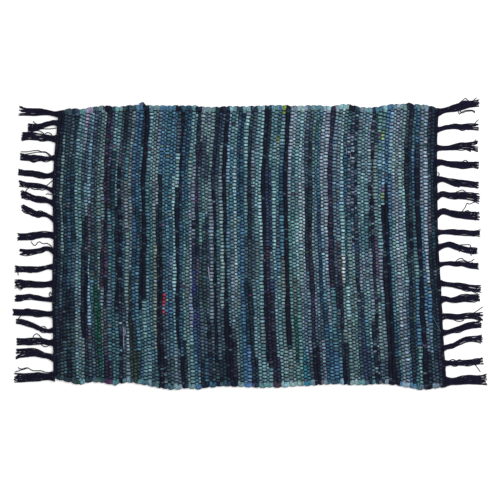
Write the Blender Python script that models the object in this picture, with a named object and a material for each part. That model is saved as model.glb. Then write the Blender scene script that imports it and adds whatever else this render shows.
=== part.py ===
"""Rag rug: a woven field of cut rags, and at each end a dark heading whose warp ends hang out in tassels.

+X runs along the rug, +Y across it and +Z up. The rug lies on z = 0 with the middle of its box over the
origin. Lengths are in millimetres until a mesh is written, which holds metres.
"""

import random
from collections import namedtuple

import bmesh
import bpy

MM = 0.001

# The weave: one rib for each rag pick.
FIELD_PICKS = 107
PICK_UNEVEN = 0.22
PICK_SEED = 11
CREST = 6.0
GROOVE = 4.3
EDGE_HEIGHT = 3.0
SHOULDER = 4.0
LOOP_OUT = 1.8
LOOP_SIDE = 0.9
LOOP_GAP = -1.6
LOOP_HEIGHT = 5.4

# The headings take the last two picks at each end.
BODY_LENGTH = 832.0
HEADING_WIDTH = 15.0
HEADING_GAP = 0.36

# The fringe: threads in tassels, side by side on the floor.
TASSEL_THREADS = 8
REACH_UNEVEN = 3.5

# The tables below are measured from the middle of the cloth, and the fringe at the right is longer.
BOX_MIDDLE_X = 1.1

# Where lines across the rug meet the left and the right end, from the near selvedge to the far one.
Line = namedtuple("Line", "left_x left_y right_x right_y")
LINES = (
    Line(-420, -285, 424, -300),
    Line(-420, -194, 418, -201),
    Line(-423, -94, 412, -97),
    Line(-420, 6, 406, 14),
    Line(-423, 135, 405, 122),
    Line(-417, 213, 405, 229),
    Line(-407, 287, 409, 297),
)

# The selvedges wander where the weaver drew the rags in more or less.
Edge = namedtuple("Edge", "x y")
NEAR_EDGE = (
    Edge(-420, -285),
    Edge(-366, -294),
    Edge(-272, -291),
    Edge(-169, -305),
    Edge(19, -298),
    Edge(62, -302),
    Edge(131, -296),
    Edge(272, -294),
    Edge(366, -305),
    Edge(424, -300),
)
FAR_EDGE = (
    Edge(-407, 287),
    Edge(-384, 295),
    Edge(-298, 300),
    Edge(-126, 303),
    Edge(-73, 296),
    Edge(45, 302),
    Edge(199, 297),
    Edge(302, 304),
    Edge(354, 305),
    Edge(409, 297),
)

# Each tassel: its root along the end, how far its hump, middle and tip lie to the far side of that, and
# how far it reaches from the cloth.
Tassel = namedtuple("Tassel", "root hump middle tip reach")
LEFT_TASSELS = (
    Tassel(-271, -2, -1, -4, 84),
    Tassel(-238, 2, 3, 4, 79),
    Tassel(-208, 3, 5, 5, 77),
    Tassel(-179, 3, 10, 17, 78),
    Tassel(-146, 1, 3, 4, 82),
    Tassel(-112, 4, 8, 1, 79),
    Tassel(-78, 2, 3, -1, 76),
    Tassel(-43, 0, -2, -5, 77),
    Tassel(-13, 4, 7, 3, 70),
    Tassel(24, 2, 0, -3, 77),
    Tassel(56, 11, 13, 24, 65),
    Tassel(92, 4, 9, 18, 66),
    Tassel(116, 8, 14, 19, 70),
    Tassel(155, -4, 1, 3, 73),
    Tassel(195, 1, 2, -2, 70),
    Tassel(231, 1, 3, 4, 73),
    Tassel(253, 1, 1, 1, 64),
    Tassel(272, 2, 6, 11, 84),
)
RIGHT_TASSELS = (
    Tassel(-285, 3, 3, 3, 83),
    Tassel(-251, 4, 6, 7, 80),
    Tassel(-216, 6, 12, 18, 80),
    Tassel(-186, 5, 12, 19, 79),
    Tassel(-154, 3, 4, 4, 86),
    Tassel(-114, 7, 6, 5, 82),
    Tassel(-79, 4, -4, -10, 86),
    Tassel(-41, 4, 2, -1, 84),
    Tassel(-5, 9, 2, -6, 82),
    Tassel(32, 4, -1, -6, 91),
    Tassel(68, 8, 2, -3, 88),
    Tassel(104, 8, 3, 1, 90),
    Tassel(140, 5, -2, -9, 90),
    Tassel(176, 4, 1, -2, 90),
    Tassel(212, 3, 0, -2, 88),
    Tassel(246, 4, 6, 8, 88),
    Tassel(282, 6, 9, 14, 85),
)
# The sections of a thread: how far along its reach, the spacing of the tassel's threads there, and the
# thread's own width and height.
Section = namedtuple("Section", "along pitch width height")
SECTIONS = (
    Section(0.0, 1.75, 1.35, EDGE_HEIGHT),
    Section(0.16, 1.5, 1.1, 5.0),
    Section(0.45, 1.75, 1.35, 3.0),
    Section(0.75, 1.85, 1.4, 2.4),
    Section(1.0, 2.0, 1.2, 1.6),
)
# The heading's two ribs, from the fringe to the field.
Rib = namedtuple("Rib", "across height")
HEADING_RIBS = (
    Rib(0.0, EDGE_HEIGHT),
    Rib(0.28, 5.4),
    Rib(0.52, GROOVE),
    Rib(0.78, CREST),
    Rib(1.0, GROOVE),
)

DARK_COTTON = (0.010, 0.010, 0.014, 1.0)
RAG_TEAL = (0.105, 0.170, 0.185, 1.0)


def mix(a, b, t):
    return a + (b - a) * t


def follow(edge, x):
    """The y of a selvedge at x."""
    for a, b in zip(edge, edge[1:]):
        if x <= b.x:
            break
    return mix(a.y, b.y, (x - a.x) / (b.x - a.x))


# A row of points along the rug: the line that it follows or, near a selvedge, the edge, which way is out
# and how far the row is inside it.
Row = namedtuple("Row", "line edge outward inset")


def cloth_rows():
    """The near selvedge and its shoulder, the lines between, and the far shoulder and selvedge."""
    near, *between, far = LINES
    rows = [Row(near, NEAR_EDGE, -1, 0), Row(near, NEAR_EDGE, -1, SHOULDER)]
    rows += [Row(line, None, 0, 0) for line in between]
    return rows + [Row(far, FAR_EDGE, 1, SHOULDER), Row(far, FAR_EDGE, 1, 0)]


def place(row, along, bump=0.0):
    """The (x, y) of a row at a fraction of the cloth's length, with a rag loop's bump at a selvedge."""
    x = mix(row.line.left_x, row.line.right_x, along)
    if row.edge is None:
        return x, mix(row.line.left_y, row.line.right_y, along)
    return x, follow(row.edge, x) + row.outward * (bump - row.inset)


def add_object(name, colour, vertices, faces):
    """One closed solid from points in mm and faces that may turn either way."""
    mesh = bpy.data.meshes.new(name)
    work = bmesh.new()
    made = []
    for x, y, z in vertices:
        made.append(work.verts.new(((x - BOX_MIDDLE_X) * MM, y * MM, z * MM)))
    for face in faces:
        work.faces.new([made[i] for i in face])
    bmesh.ops.recalc_face_normals(work, faces=work.faces)
    work.to_mesh(mesh)
    work.free()
    material = bpy.data.materials.new(name)
    material.use_nodes = True
    shader = material.node_tree.nodes["Principled BSDF"]
    shader.inputs["Base Color"].default_value = colour
    shader.inputs["Roughness"].default_value = 0.9
    shader.inputs["Metallic"].default_value = 0.0
    mesh.materials.append(material)
    made_object = bpy.data.objects.new(name, mesh)
    bpy.context.collection.objects.link(made_object)
    return made_object


class Solid:
    """Points and faces of one solid, gathered before the mesh is made."""

    def __init__(self):
        self.vertices = []
        self.faces = []

    def point(self, x, y, z):
        self.vertices.append((x, y, z))
        return len(self.vertices) - 1


def pick_borders(rng):
    """The fraction of the field's length at which each pick begins, and the end."""
    widths = [1.0 + PICK_UNEVEN * rng.uniform(-1, 1) for _ in range(FIELD_PICKS)]
    total = sum(widths)
    borders = [0.0]
    for width in widths:
        borders.append(borders[-1] + width / total)
    return borders


def loop_bump(column, far):
    """How far a selvedge stands out at a groove or a crest, and the rib's height at its shoulder. A rag
    turns back round every second groove, and the two selvedges take turns."""
    if column % 2:
        return LOOP_SIDE, CREST
    border = column // 2
    inside_loop = (border % 2 == 1) == far
    if inside_loop and 0 < border < FIELD_PICKS:
        return LOOP_OUT, LOOP_HEIGHT
    return LOOP_GAP, GROOVE


def rug_field():
    """The ribbed cloth between the headings, flat underneath."""
    borders = pick_borders(random.Random(PICK_SEED))
    start = (HEADING_WIDTH + HEADING_GAP) / BODY_LENGTH
    rows = cloth_rows()
    last = len(rows) - 1
    columns = 2 * FIELD_PICKS
    solid = Solid()
    top = []
    floor_near = []
    floor_far = []
    for column in range(columns + 1):
        pick = column // 2
        at = borders[pick] if column % 2 == 0 else mix(borders[pick], borders[pick + 1], 0.5)
        along = mix(start, 1 - start, at)
        near_bump, near_height = loop_bump(column, far=False)
        far_bump, far_height = loop_bump(column, far=True)
        middle_height = CREST if column % 2 else GROOVE
        heights = [EDGE_HEIGHT, near_height] + [middle_height] * (last - 3) + [far_height, EDGE_HEIGHT]
        bumps = [near_bump] + [0.0] * (last - 1) + [far_bump]
        line = []
        for row, bump, height in zip(rows, bumps, heights):
            line.append(solid.point(*place(row, along, bump), height))
        top.append(line)
        near = solid.vertices[line[0]]
        far = solid.vertices[line[-1]]
        floor_near.append(solid.point(near[0], near[1], 0))
        floor_far.append(solid.point(far[0], far[1], 0))

    ends = {}
    for column in (0, columns):
        floor_line = [floor_near[column]]
        for i in top[column][1:-1]:
            x, y, _ = solid.vertices[i]
            floor_line.append(solid.point(x, y, 0))
        floor_line.append(floor_far[column])
        ends[column] = floor_line
        for j in range(last):
            a, b = floor_line[j], floor_line[j + 1]
            solid.faces.append((a, b, top[column][j + 1], top[column][j]))

    for column in range(columns):
        here, there = top[column], top[column + 1]
        for j in range(last):
            solid.faces.append((here[j], there[j], there[j + 1], here[j + 1]))
        solid.faces.append((floor_near[column], floor_near[column + 1], there[0], here[0]))
        solid.faces.append((floor_far[column], floor_far[column + 1], there[-1], here[-1]))
        left = ends.get(column, [floor_near[column], floor_far[column]])
        right = ends.get(column + 1, [floor_near[column + 1], floor_far[column + 1]])
        solid.faces.append(tuple(left) + tuple(reversed(right)))
    return add_object("rug_field", RAG_TEAL, solid.vertices, solid.faces)


def thread(solid, tassel, place_in_tassel, reach, edge_at):
    """One thread of three sides, flat on the floor. Returns the two feet and the tip of its open root."""
    swings = (0.0, tassel.hump, tassel.middle, mix(tassel.middle, tassel.tip, 0.5), tassel.tip)
    rings = []
    for section, swing in zip(SECTIONS, swings):
        middle = tassel.root + place_in_tassel * section.pitch
        ring = []
        for side, height in ((-0.5, 0), (0.5, 0), (0, section.height)):
            y = middle + side * section.width
            ring.append(solid.point(edge_at(y) + reach * section.along, y + swing, height))
        rings.append(ring)
    for ring, following in zip(rings, rings[1:]):
        for a in range(3):
            b = (a + 1) % 3
            solid.faces.append((ring[a], ring[b], following[b], following[a]))
    solid.faces.append(rings[-1])
    return rings[0]


def heading(name, tassels, right_end):
    """A heading strip with its fringe. Every thread grows from a triangle in the strip's outer wall, whose
    point is on the wall's top edge."""
    rng = random.Random(len(tassels))
    outward = 1 if right_end else -1
    rows = cloth_rows()
    last = len(rows) - 1
    strip = HEADING_WIDTH / BODY_LENGTH
    solid = Solid()

    def spot(row, rib):
        along = rib.across * strip
        return place(row, 1 - along if right_end else along)

    ribs = []
    for rib in HEADING_RIBS:
        heights = [rib.height if 0 < j < last else EDGE_HEIGHT for j in range(last + 1)]
        ribs.append([solid.point(*spot(row, rib), h) for row, h in zip(rows, heights)])
    outer_top, inner_top = ribs[0], ribs[-1]
    outer_floor = [solid.point(*spot(row, HEADING_RIBS[0]), 0) for row in rows]
    inner_floor = [solid.point(*spot(row, HEADING_RIBS[-1]), 0) for row in rows]
    outer = [solid.vertices[i] for i in outer_floor]

    def edge_at(y):
        for a, b in zip(outer, outer[1:]):
            if y <= b[1]:
                break
        return mix(a[0], b[0], (y - a[1]) / (b[1] - a[1]))

    roots = []
    for tassel in tassels:
        for k in range(TASSEL_THREADS):
            reach = outward * (tassel.reach - REACH_UNEVEN * rng.random())
            roots.append(thread(solid, tassel, k - (TASSEL_THREADS - 1) / 2, reach, edge_at))

    for j in range(last):
        low, high = outer[j][1], outer[j + 1][1]
        here = [root for root in roots if low < solid.vertices[root[0]][1] < high]
        floor_edge = [outer_floor[j]]
        top_edge = [outer_top[j]]
        left_foot, left_top = outer_floor[j], outer_top[j]
        for near_foot, far_foot, tip in here:
            solid.faces.append((left_foot, near_foot, tip, left_top))
            floor_edge += [near_foot, far_foot]
            top_edge.append(tip)
            left_foot, left_top = far_foot, tip
        solid.faces.append((left_foot, outer_floor[j + 1], outer_top[j + 1], left_top))
        floor_edge.append(outer_floor[j + 1])
        top_edge.append(outer_top[j + 1])
        solid.faces.append((*floor_edge, inner_floor[j + 1], inner_floor[j]))
        solid.faces.append((*top_edge, ribs[1][j + 1], ribs[1][j]))
        for a, b in zip(ribs[1:], ribs[2:]):
            solid.faces.append((a[j], a[j + 1], b[j + 1], b[j]))
        solid.faces.append((inner_floor[j], inner_floor[j + 1], inner_top[j + 1], inner_top[j]))
    for j in (0, last):
        end = [rib[j] for rib in ribs]
        solid.faces.append((outer_floor[j], *end, inner_floor[j]))
    return add_object(name, DARK_COTTON, solid.vertices, solid.faces)


for old in list(bpy.data.objects):
    bpy.data.objects.remove(old)

rug_field()
heading("heading_left", LEFT_TASSELS, right_end=False)
heading("heading_right", RIGHT_TASSELS, right_end=True)
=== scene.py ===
"""Rag rug, thread by thread: one long weft of cut rags that turns back at each selvedge, black cotton warp
over and under it, and the warp ends as tassels.

Lengths are in millimetres and become metres when a mesh is made. The cloth is laid out by two fractions:
along, from the left end to the right one, and across, from the near selvedge to the far one.
"""

import math
from collections import namedtuple

import bpy
import numpy as np
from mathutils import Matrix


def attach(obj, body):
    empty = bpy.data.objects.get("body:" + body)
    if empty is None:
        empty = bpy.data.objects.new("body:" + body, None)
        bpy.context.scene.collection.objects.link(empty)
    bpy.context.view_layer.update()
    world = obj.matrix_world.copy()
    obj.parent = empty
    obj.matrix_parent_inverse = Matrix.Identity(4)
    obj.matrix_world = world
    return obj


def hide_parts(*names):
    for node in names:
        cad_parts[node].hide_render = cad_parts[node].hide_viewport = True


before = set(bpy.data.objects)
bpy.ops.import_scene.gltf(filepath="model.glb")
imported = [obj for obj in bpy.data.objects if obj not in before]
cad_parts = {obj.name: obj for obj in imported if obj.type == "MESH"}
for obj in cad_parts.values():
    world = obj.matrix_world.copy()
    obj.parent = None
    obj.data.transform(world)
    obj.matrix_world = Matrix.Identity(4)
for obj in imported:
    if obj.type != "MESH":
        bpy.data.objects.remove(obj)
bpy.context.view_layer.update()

MM = 0.001
SEED = 23

# The loom's figures, and the room for the loops at each selvedge. The tables give places from the middle
# of the picture, where the rug's own middle is at MIDDLE_X.
WARPS = 157
BODY_LENGTH = 832.0
BODY_WIDTH = 598.0
MIDDLE_X = 1.1
LOOP_ROOM = 10.0

# The weft: heights above and below the middle of the cloth, where a warp thread is under it, over it and
# beside it, and half its width as a share of half its pick.
MID_HEIGHT = 3.0
RAG_FULL = 2.85
RAG_PRESSED = 1.45
RAG_BESIDE = (RAG_FULL + RAG_PRESSED) / 2 + 0.15
RAG_SIDES = 6
RAG_FILL = 1.04
FLOOR_GAP = 0.02
# How far a border between picks wanders: in shares of a pick over a few warps, and of the length over many.
PICK_UNEVEN = 0.16
UNEVEN_PLACES = 9
DRIFT = 0.0021
DRIFT_PLACES = 40
# Creases of the rag: the size of each kind, and over how many rings it changes.
CREASES = ((0.09, 3), (0.07, 11))
# How far a join may be from its place in the chart, in shares of the width.
SEAM_DRIFT = 0.045
# How light a fold is, from 0 to 1: the middle, the spread from fold to fold, and slower changes.
TONE = 0.52
TONE_SPREAD = 0.27
TONE_CHANGES = ((0.22, 14), (0.12, 90))
# A turn shows less light and shade than a fold: its tone, and how much of it counts.
TURN_TONE = 0.45
TURN_TONE_SHARE = 0.6
# The share of folds with a printed or a heathered spot, and how strong it is.
FLECK_SHARE = 0.018
FLECK_STRENGTH = (0.15, 0.5)

# The warp thread: its section, how high it crosses a rag, how far it is level to each side of that, in
# shares of a pick, and how far it wanders to the side.
WARP_HALF_WIDTH = 1.22
WARP_HALF_HEIGHT = 0.55
WARP_SIDES = 4
WARP_CREST = RAG_PRESSED * 0.93 + WARP_HALF_HEIGHT * 0.75
WARP_SHOULDER = 0.23
WARP_WANDER = 0.5
WANDER_RINGS = 7

# The fringe's threads. THREAD_REST is the middle of one that lies on the floor.
THREADS_FOR_GIRTH = 3.0
THREAD_RADIUS = 0.95
THREAD_REST = THREAD_RADIUS + 0.05
THREAD_SIDES = 4
THREAD_RINGS = 20
STRAY_RINGS = 26
STRAY_RISE = 2.0
# How deep in the heading a thread starts, and how far it is raised there and where it comes down from it.
ROOT_DEPTH = 3.5
ROOT_PLACES = (-ROOT_DEPTH, 2.0, 9.0)
ROOT_LIFTS = (3.6, 2.6, 0.0)

# Where lines across the rug meet the left and the right end, from the near selvedge to the far one.
Line = namedtuple("Line", "left_x left_y right_x right_y")
LINES = (
    Line(-419, -285, 424, -300),
    Line(-420, -194, 417, -201),
    Line(-422, -94, 412, -97),
    Line(-419, 6, 405.5, 14),
    Line(-420.5, 135, 403.5, 122),
    Line(-415, 213, 403.5, 229),
    Line(-407.5, 287, 407, 297),
)
# The near and the far edge, by places (x, y) on them.
NEAR_EDGE = (
    (-420, -284), (-401, -287), (-366, -296), (-338, -291), (-285, -296), (-262, -292), (-212, -300),
    (-162, -308), (-133, -305), (-111, -307), (-84, -303), (-30, -301), (2, -303), (45, -303), (109, -300),
    (174, -296), (238, -298), (302, -296), (330, -301), (371, -308), (403, -305), (424, -302),
)
FAR_EDGE = (
    (-407, 288), (-398, 290), (-379, 295), (-362, 293), (-326, 299), (-276, 299), (-240, 302), (-180, 301),
    (-126, 301), (-94, 298), (-45, 299), (2, 299), (54, 302), (109, 300), (152, 301), (174, 299),
    (206, 304), (238, 298), (270, 297), (313, 304), (356, 304), (377, 303), (407, 296),
)

# Each tassel: its root along the end, how far its middle line lies to the far side of that at each of the
# bend places after the root, its reach from the cloth, half its girth, and half its fan at the tip.
BEND_PLACES = (0.0, 0.14, 0.28, 0.44, 0.6, 0.8, 1.0)
Tassel = namedtuple("Tassel", "root bends reach girth fan")
# The threads' room beyond the girth and the fan, and how the bundle widens and flattens to its tips.
GIRTH_ROOM = 0.7
FAN_ROOM = 0.5
ROOT_SPREAD = 1.35
WIDTH_PLACES = (0.0, 0.08, 0.5, 0.8, 1.0)
FAN_STARTED = 0.25
HEIGHT_PLACES = (0.0, 0.16, 0.45, 0.75, 1.0)
HEIGHTS = (1.1, 1.7, 1.3, 1.0, 0.5)
# Each thread: how far it turns round the bundle, its kinks, how much shorter than the tassel it may be cut
# and how often, how near the middle every fourth one runs, and how far its tip frays to the side.
TWIST = (0.9, 2.2)
KINKS = ((0.6, 3), (1.3, 7))
SHORTER = (0.0, 0.06, 0.16)
SHORTER_ODDS = (0.62, 0.26, 0.12)
LONGEST = 1.01
LENGTH_SPREAD = 0.05
INNER = 0.4
FRAY = 1.5
# A thread that has worked loose along a side of the tassel: how far it stands off.
SIDE_LOOSE = 3.2
SIDE_RINGS = 4
LEFT_TASSELS = (
    Tassel(-279, (-1, -2, -2, -2, -3, -3), 84, 8.4, 9.0),
    Tassel(-241, (4, 7, 11, 13, 12, 10), 80, 7.1, 10.7),
    Tassel(-207, (0, 2, 3, 2, 2, 2), 78, 6.4, 7.5),
    Tassel(-179, (-3, -1, 4, 10, 15, 17), 79, 4.6, 4.5),
    Tassel(-147, (1, 2, 3, 4, 4, 4), 85, 6.2, 5.4),
    Tassel(-113, (-2, -1, 2, 4, 3, 0), 80, 5.0, 5.4),
    Tassel(-81, (-1, -2, -2, -1, 0, -1), 80, 6.4, 8.6),
    Tassel(-45, (0, -3, -6, -6, -5, -5), 81, 5.3, 6.4),
    Tassel(-15, (8, 10, 5, 3, 2, 3), 72, 5.1, 5.9),
    Tassel(21, (3, 3, 2, 1, -1, -1), 77, 6.4, 7.0),
    Tassel(54, (8, 13, 14, 16, 22, 28), 68, 5.4, 5.4),
    Tassel(90, (5, 8, 9, 11, 17, 21), 68, 6.0, 6.4),
    Tassel(117, (5, 10, 12, 13, 14, 17), 72, 4.9, 6.4),
    Tassel(153, (-2, -3, -1, 2, 3, 5), 75, 6.2, 4.9),
    Tassel(189, (-1, -2, -1, -2, 0, 3), 73, 5.4, 6.4),
    Tassel(229, (1, 3, 4, 5, 6, 6), 74, 7.1, 7.5),
    Tassel(262, (2, 1, -2, -6, -8, -8), 64, 5.8, 8.6),
    Tassel(282, (1, 3, 5, 5, 6, 7), 85, 5.7, 9.1),
)
RIGHT_TASSELS = (
    Tassel(-290, (0, 1, 3, 4, 3, 3), 87, 8.6, 11.3),
    Tassel(-251, (0, 0, 1, 1, 2, 5), 82, 5.1, 5.6),
    Tassel(-220, (4, 7, 13, 19, 21, 21), 82, 4.8, 6.9),
    Tassel(-186, (1, 4, 8, 12, 16, 18), 82, 5.6, 6.4),
    Tassel(-152, (2, 0, 0, 2, 2, 1), 87, 5.6, 7.5),
    Tassel(-116, (3, 0, 1, 4, 6, 6), 82, 6.2, 6.0),
    Tassel(-79, (-2, -4, -6, -9, -11, -13), 87, 5.6, 8.0),
    Tassel(-41, (3, 4, 3, 3, -1, -2), 84, 4.5, 6.4),
    Tassel(-5, (5, 8, 4, 0, -5, -6), 83, 5.7, 5.8),
    Tassel(29, (1, 1, 1, -1, -2, -3), 91, 4.9, 5.8),
    Tassel(65, (9, 7, 4, 1, 0, -1), 90, 6.6, 9.0),
    Tassel(103, (8, 6, 5, 5, 2, 0), 91, 6.4, 8.6),
    Tassel(141, (2, -1, -5, -6, -8, -11), 90, 6.3, 5.4),
    Tassel(177, (3, 0, -2, -3, -3, -3), 90, 6.2, 5.8),
    Tassel(210, (0, 0, 1, 3, 4, 3), 88, 5.6, 11.8),
    Tassel(248, (3, 6, 8, 7, 7, 7), 88, 4.9, 5.8),
    Tassel(285, (4, 8, 11, 14, 19, 21), 87, 6.9, 5.9),
)

# Loose threads and loops that stand off the tassels: places on the floor.
LEFT_STRAYS = (
    ((-411, 253), (-426, 251), (-444, 251), (-461, 252)),
    ((-437, 237), (-441, 242), (-448, 246), (-459, 247), (-467, 246)),
    ((-420, 234), (-425, 241), (-431, 243), (-437, 241)),
    (
        (-424, 193), (-431, 199), (-437, 202), (-444, 202), (-452, 205), (-463, 204), (-476, 202),
        (-489, 202),
    ),
    ((-426, 192), (-435, 200), (-444, 201), (-454, 201), (-465, 199), (-476, 197), (-486, 195)),
    ((-452, 183), (-461, 179), (-469, 182), (-478, 186)),
    ((-424, 184), (-435, 180), (-446, 183)),
    ((-420, 141), (-428, 134), (-435, 128)),
    ((-433, 123), (-441, 120), (-450, 121), (-459, 121), (-467, 124)),
    ((-470, 125), (-477, 120), (-479, 114)),
    ((-419, 113), (-426, 110), (-432, 112), (-435, 110)),
    ((-467, 68), (-474, 69), (-482, 72), (-486, 78)),
    ((-446, 62), (-453, 61), (-461, 65), (-469, 69)),
    (
        (-421, -5), (-424, 0), (-429, 4), (-433, 6), (-438, 5), (-444, 6), (-448, 9), (-452, 8), (-455, 4),
        (-459, 1), (-463, 4), (-467, 10),
    ),
    ((-467, -16), (-473, -19), (-478, -17), (-483, -14)),
    ((-495, -55), (-495, -59), (-494, -63)),
    ((-480, -86), (-484, -90), (-490, -95)),
    ((-426, -108), (-428, -102), (-426, -99), (-423, -104)),
    ((-489, -150), (-492, -153), (-496, -159)),
    ((-434, -178), (-436, -174), (-441, -172), (-446, -176)),
    ((-450, -180), (-444, -185), (-437, -186), (-431, -183)),
    ((-441, -200), (-446, -195), (-450, -191), (-455, -188), (-461, -192), (-463, -199)),
    ((-426, -211), (-430, -214), (-435, -216), (-440, -215), (-446, -210)),
    ((-437, -237), (-446, -237), (-452, -234), (-461, -231)),
    (
        (-420, -269), (-429, -271), (-437, -270), (-446, -267), (-454, -267), (-463, -267), (-469, -264),
        (-474, -261), (-478, -261), (-484, -263), (-491, -263), (-495, -260),
    ),
    ((-473, -261), (-482, -264), (-489, -266), (-495, -268), (-501, -269)),
)
RIGHT_STRAYS = (
    ((446, 302), (454, 309), (460, 314), (464, 317), (467, 314), (473, 309)),
    ((450, 303), (459, 310), (465, 311), (469, 308)),
    (
        (448, 299), (449, 290), (451, 282), (455, 286), (463, 290), (471, 291), (478, 291), (484, 288),
        (482, 285),
    ),
    ((449, 297), (452, 290), (457, 285), (464, 288), (472, 289), (480, 289), (484, 285)),
    ((478, 308), (483, 314), (488, 318)),
    ((482, 259), (486, 265), (492, 271)),
    ((444, 253), (452, 249), (459, 247), (465, 251)),
    ((476, 218), (482, 223), (486, 228)),
    ((456, 179), (461, 183), (465, 184), (469, 180)),
    ((406, 158), (408, 153), (406, 150), (409, 145)),
    ((444, 131), (449, 126), (454, 130)),
    ((439, 113), (450, 118), (458, 120), (463, 117), (469, 111)),
    ((486, 95), (478, 92), (471, 90), (468, 92), (464, 84), (459, 77), (456, 73)),
    ((461, 72), (465, 75), (469, 76), (475, 72)),
    ((450, 2), (463, 3), (471, 3), (475, 1), (474, -4)),
    ((453, -5), (452, -9), (451, -13)),
    ((467, -12), (473, -15), (477, -21)),
    ((441, -35), (449, -28), (455, -26), (461, -30), (468, -34)),
    ((465, -35), (474, -33), (479, -31), (483, -27)),
    ((476, -40), (483, -40), (491, -38)),
    ((471, -93), (480, -98), (490, -102)),
    ((459, -116), (465, -119), (474, -120), (484, -120), (492, -116)),
    ((435, -155), (445, -161), (452, -162), (461, -158)),
    ((474, -147), (484, -142), (493, -136), (501, -130)),
    ((429, -183), (439, -177), (450, -176)),
    ((429, -246), (437, -243), (446, -246), (451, -243), (455, -246)),
    ((435, -256), (441, -258), (448, -256)),
    ((478, -252), (485, -255), (489, -260), (496, -270)),
    ((422, -296), (431, -293), (441, -289)),
)

# Loose threads on the weave and over its far selvedge: places, the radius, and the height of the middle and
# how far the ends rise from it.
Loose = namedtuple("Loose", "shade radius height ends places")
LOOSE = (
    Loose("pale", 0.8, 6.3, -2.0, ((-88, -43), (-86, -52), (-86, -60), (-84, -71))),
    Loose("pale", 0.55, 6.3, -2.0, ((-270, -169), (-268, -185), (-268.5, -203), (-267, -227))),
    Loose("pale", 0.55, 6.3, -2.0, ((-266, -176), (-265, -184), (-266, -192))),
    Loose("pale", 0.5, 6.3, -2.0, ((208, 211), (209, 204), (208, 197))),
    Loose("pale", 0.5, 6.3, -2.0, ((217, 197), (218, 192), (217, 186))),
    Loose("pale", 0.22, 4.0, -2.5, ((79, 299), (85.5, 306), (91, 308), (97, 305), (101, 299))),
    Loose("blue", 0.6, 6.4, -1.5, ((394, -150), (398, -160), (404, -170), (411, -185))),
    Loose("blue", 0.7, 6.4, -2.0, ((368, -202), (372, -210), (377, -216), (383, -219))),
)

# The turn of the weft at a selvedge: how far each ring lies to the side of the middle of the turn, in
# shares of half the way from pick to pick, how far beyond the last crossing, and half its width. The
# weft's two ends have a short tail there instead.
Turn = namedtuple("Turn", "aside beyond half")
TURN = (
    Turn(-1.0, 0.6, 3.8),
    Turn(-1.12, 2.6, 4.3),
    Turn(-1.3, 5.5, 4.9),
    Turn(-0.7, 5.9, 4.6),
    Turn(0.0, 5.8, 4.5),
    Turn(0.7, 5.9, 4.6),
    Turn(1.3, 5.5, 4.9),
    Turn(1.12, 2.6, 4.3),
    Turn(1.0, 0.6, 3.8),
)
TAIL = (
    Turn(0.0, 2.0, 3.8),
    Turn(0.0, 4.4, 3.9),
    Turn(0.0, 6.8, 3.9),
    Turn(0.0, 8.8, 3.4),
)
TURN_HEIGHT = 2.9
# How much turns differ in width and in reach, and how far they lie to the side.
TURN_FULL = (0.96, 1.06)
TURN_REACH = (0.92, 1.1)
TURN_ASIDE = 0.4

# Cotton rags: the colour of a fold in the light, a second colour in the cloth and how much of it shows. The
# painted shade in the creases and between the picks is made from the second colour.
Fabric = namedtuple("Fabric", "red green blue second_red second_green second_blue second")
FABRICS = {
    "black": Fabric(23, 28, 41, 22, 25, 39, 0.3),
    "ink": Fabric(40, 56, 68, 24, 33, 46, 0.4),
    "plum": Fabric(54, 55, 76, 30, 31, 46, 0.4),
    "navy": Fabric(52, 70, 97, 31, 40, 58, 0.4),
    "violet": Fabric(73, 84, 107, 43, 49, 68, 0.4),
    "slate": Fabric(76, 99, 112, 44, 57, 73, 0.5),
    "blue_slate": Fabric(105, 131, 147, 58, 79, 99, 0.45),
    "deep_teal": Fabric(46, 76, 88, 25, 41, 53, 0.5),
    "deep_blue": Fabric(57, 96, 118, 30, 50, 69, 0.5),
    "teal": Fabric(80, 121, 130, 43, 72, 84, 0.5),
    "blue_teal": Fabric(84, 127, 146, 44, 78, 98, 0.45),
    "blue": Fabric(76, 117, 144, 43, 70, 100, 0.4),
    "pale_blue": Fabric(124, 163, 183, 80, 113, 136, 0.4),
    "sea": Fabric(112, 149, 157, 66, 102, 114, 0.45),
    "sea_green": Fabric(101, 144, 146, 59, 95, 98, 0.45),
    "pale_sea": Fabric(137, 177, 183, 90, 129, 138, 0.4),
    "sage": Fabric(113, 141, 142, 71, 96, 103, 0.45),
    "pale_sage": Fabric(148, 176, 176, 97, 125, 129, 0.4),
    "silver": Fabric(121, 143, 155, 80, 97, 111, 0.45),
    "lilac": Fabric(126, 143, 160, 83, 97, 117, 0.45),
    "pale_lilac": Fabric(147, 164, 178, 101, 118, 136, 0.4),
    "moss": Fabric(62, 87, 93, 37, 50, 58, 0.5),
    "olive": Fabric(53, 72, 66, 32, 41, 43, 0.5),
    "green": Fabric(40, 98, 82, 24, 56, 54, 0.4),
    "brown": Fabric(108, 128, 122, 66, 74, 76, 0.5),
    "mauve": Fabric(90, 92, 105, 54, 54, 70, 0.5),
    "maroon": Fabric(70, 60, 74, 42, 36, 49, 0.4),
    "pink": Fabric(108, 98, 124, 66, 58, 82, 0.5),
    "cream": Fabric(178, 198, 194, 130, 146, 145, 0.3),
    "red": Fabric(176, 64, 84, 108, 42, 58, 0.3),
    "mustard": Fabric(140, 160, 60, 80, 100, 60, 0.3),
    "damson": Fabric(82, 56, 92, 50, 35, 60, 0.3),
    "sky": Fabric(84, 125, 164, 49, 79, 112, 0.4),
    "turquoise": Fabric(52, 127, 146, 31, 80, 95, 0.4),
    "orchid": Fabric(168, 160, 190, 116, 110, 142, 0.3),
    "stone": Fabric(120, 137, 142, 76, 88, 96, 0.45),
    "straw": Fabric(130, 150, 138, 82, 98, 94, 0.4),
    "lime": Fabric(140, 168, 124, 88, 110, 84, 0.5),
    "cobalt": Fabric(58, 76, 128, 36, 46, 82, 0.4),
}
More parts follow.
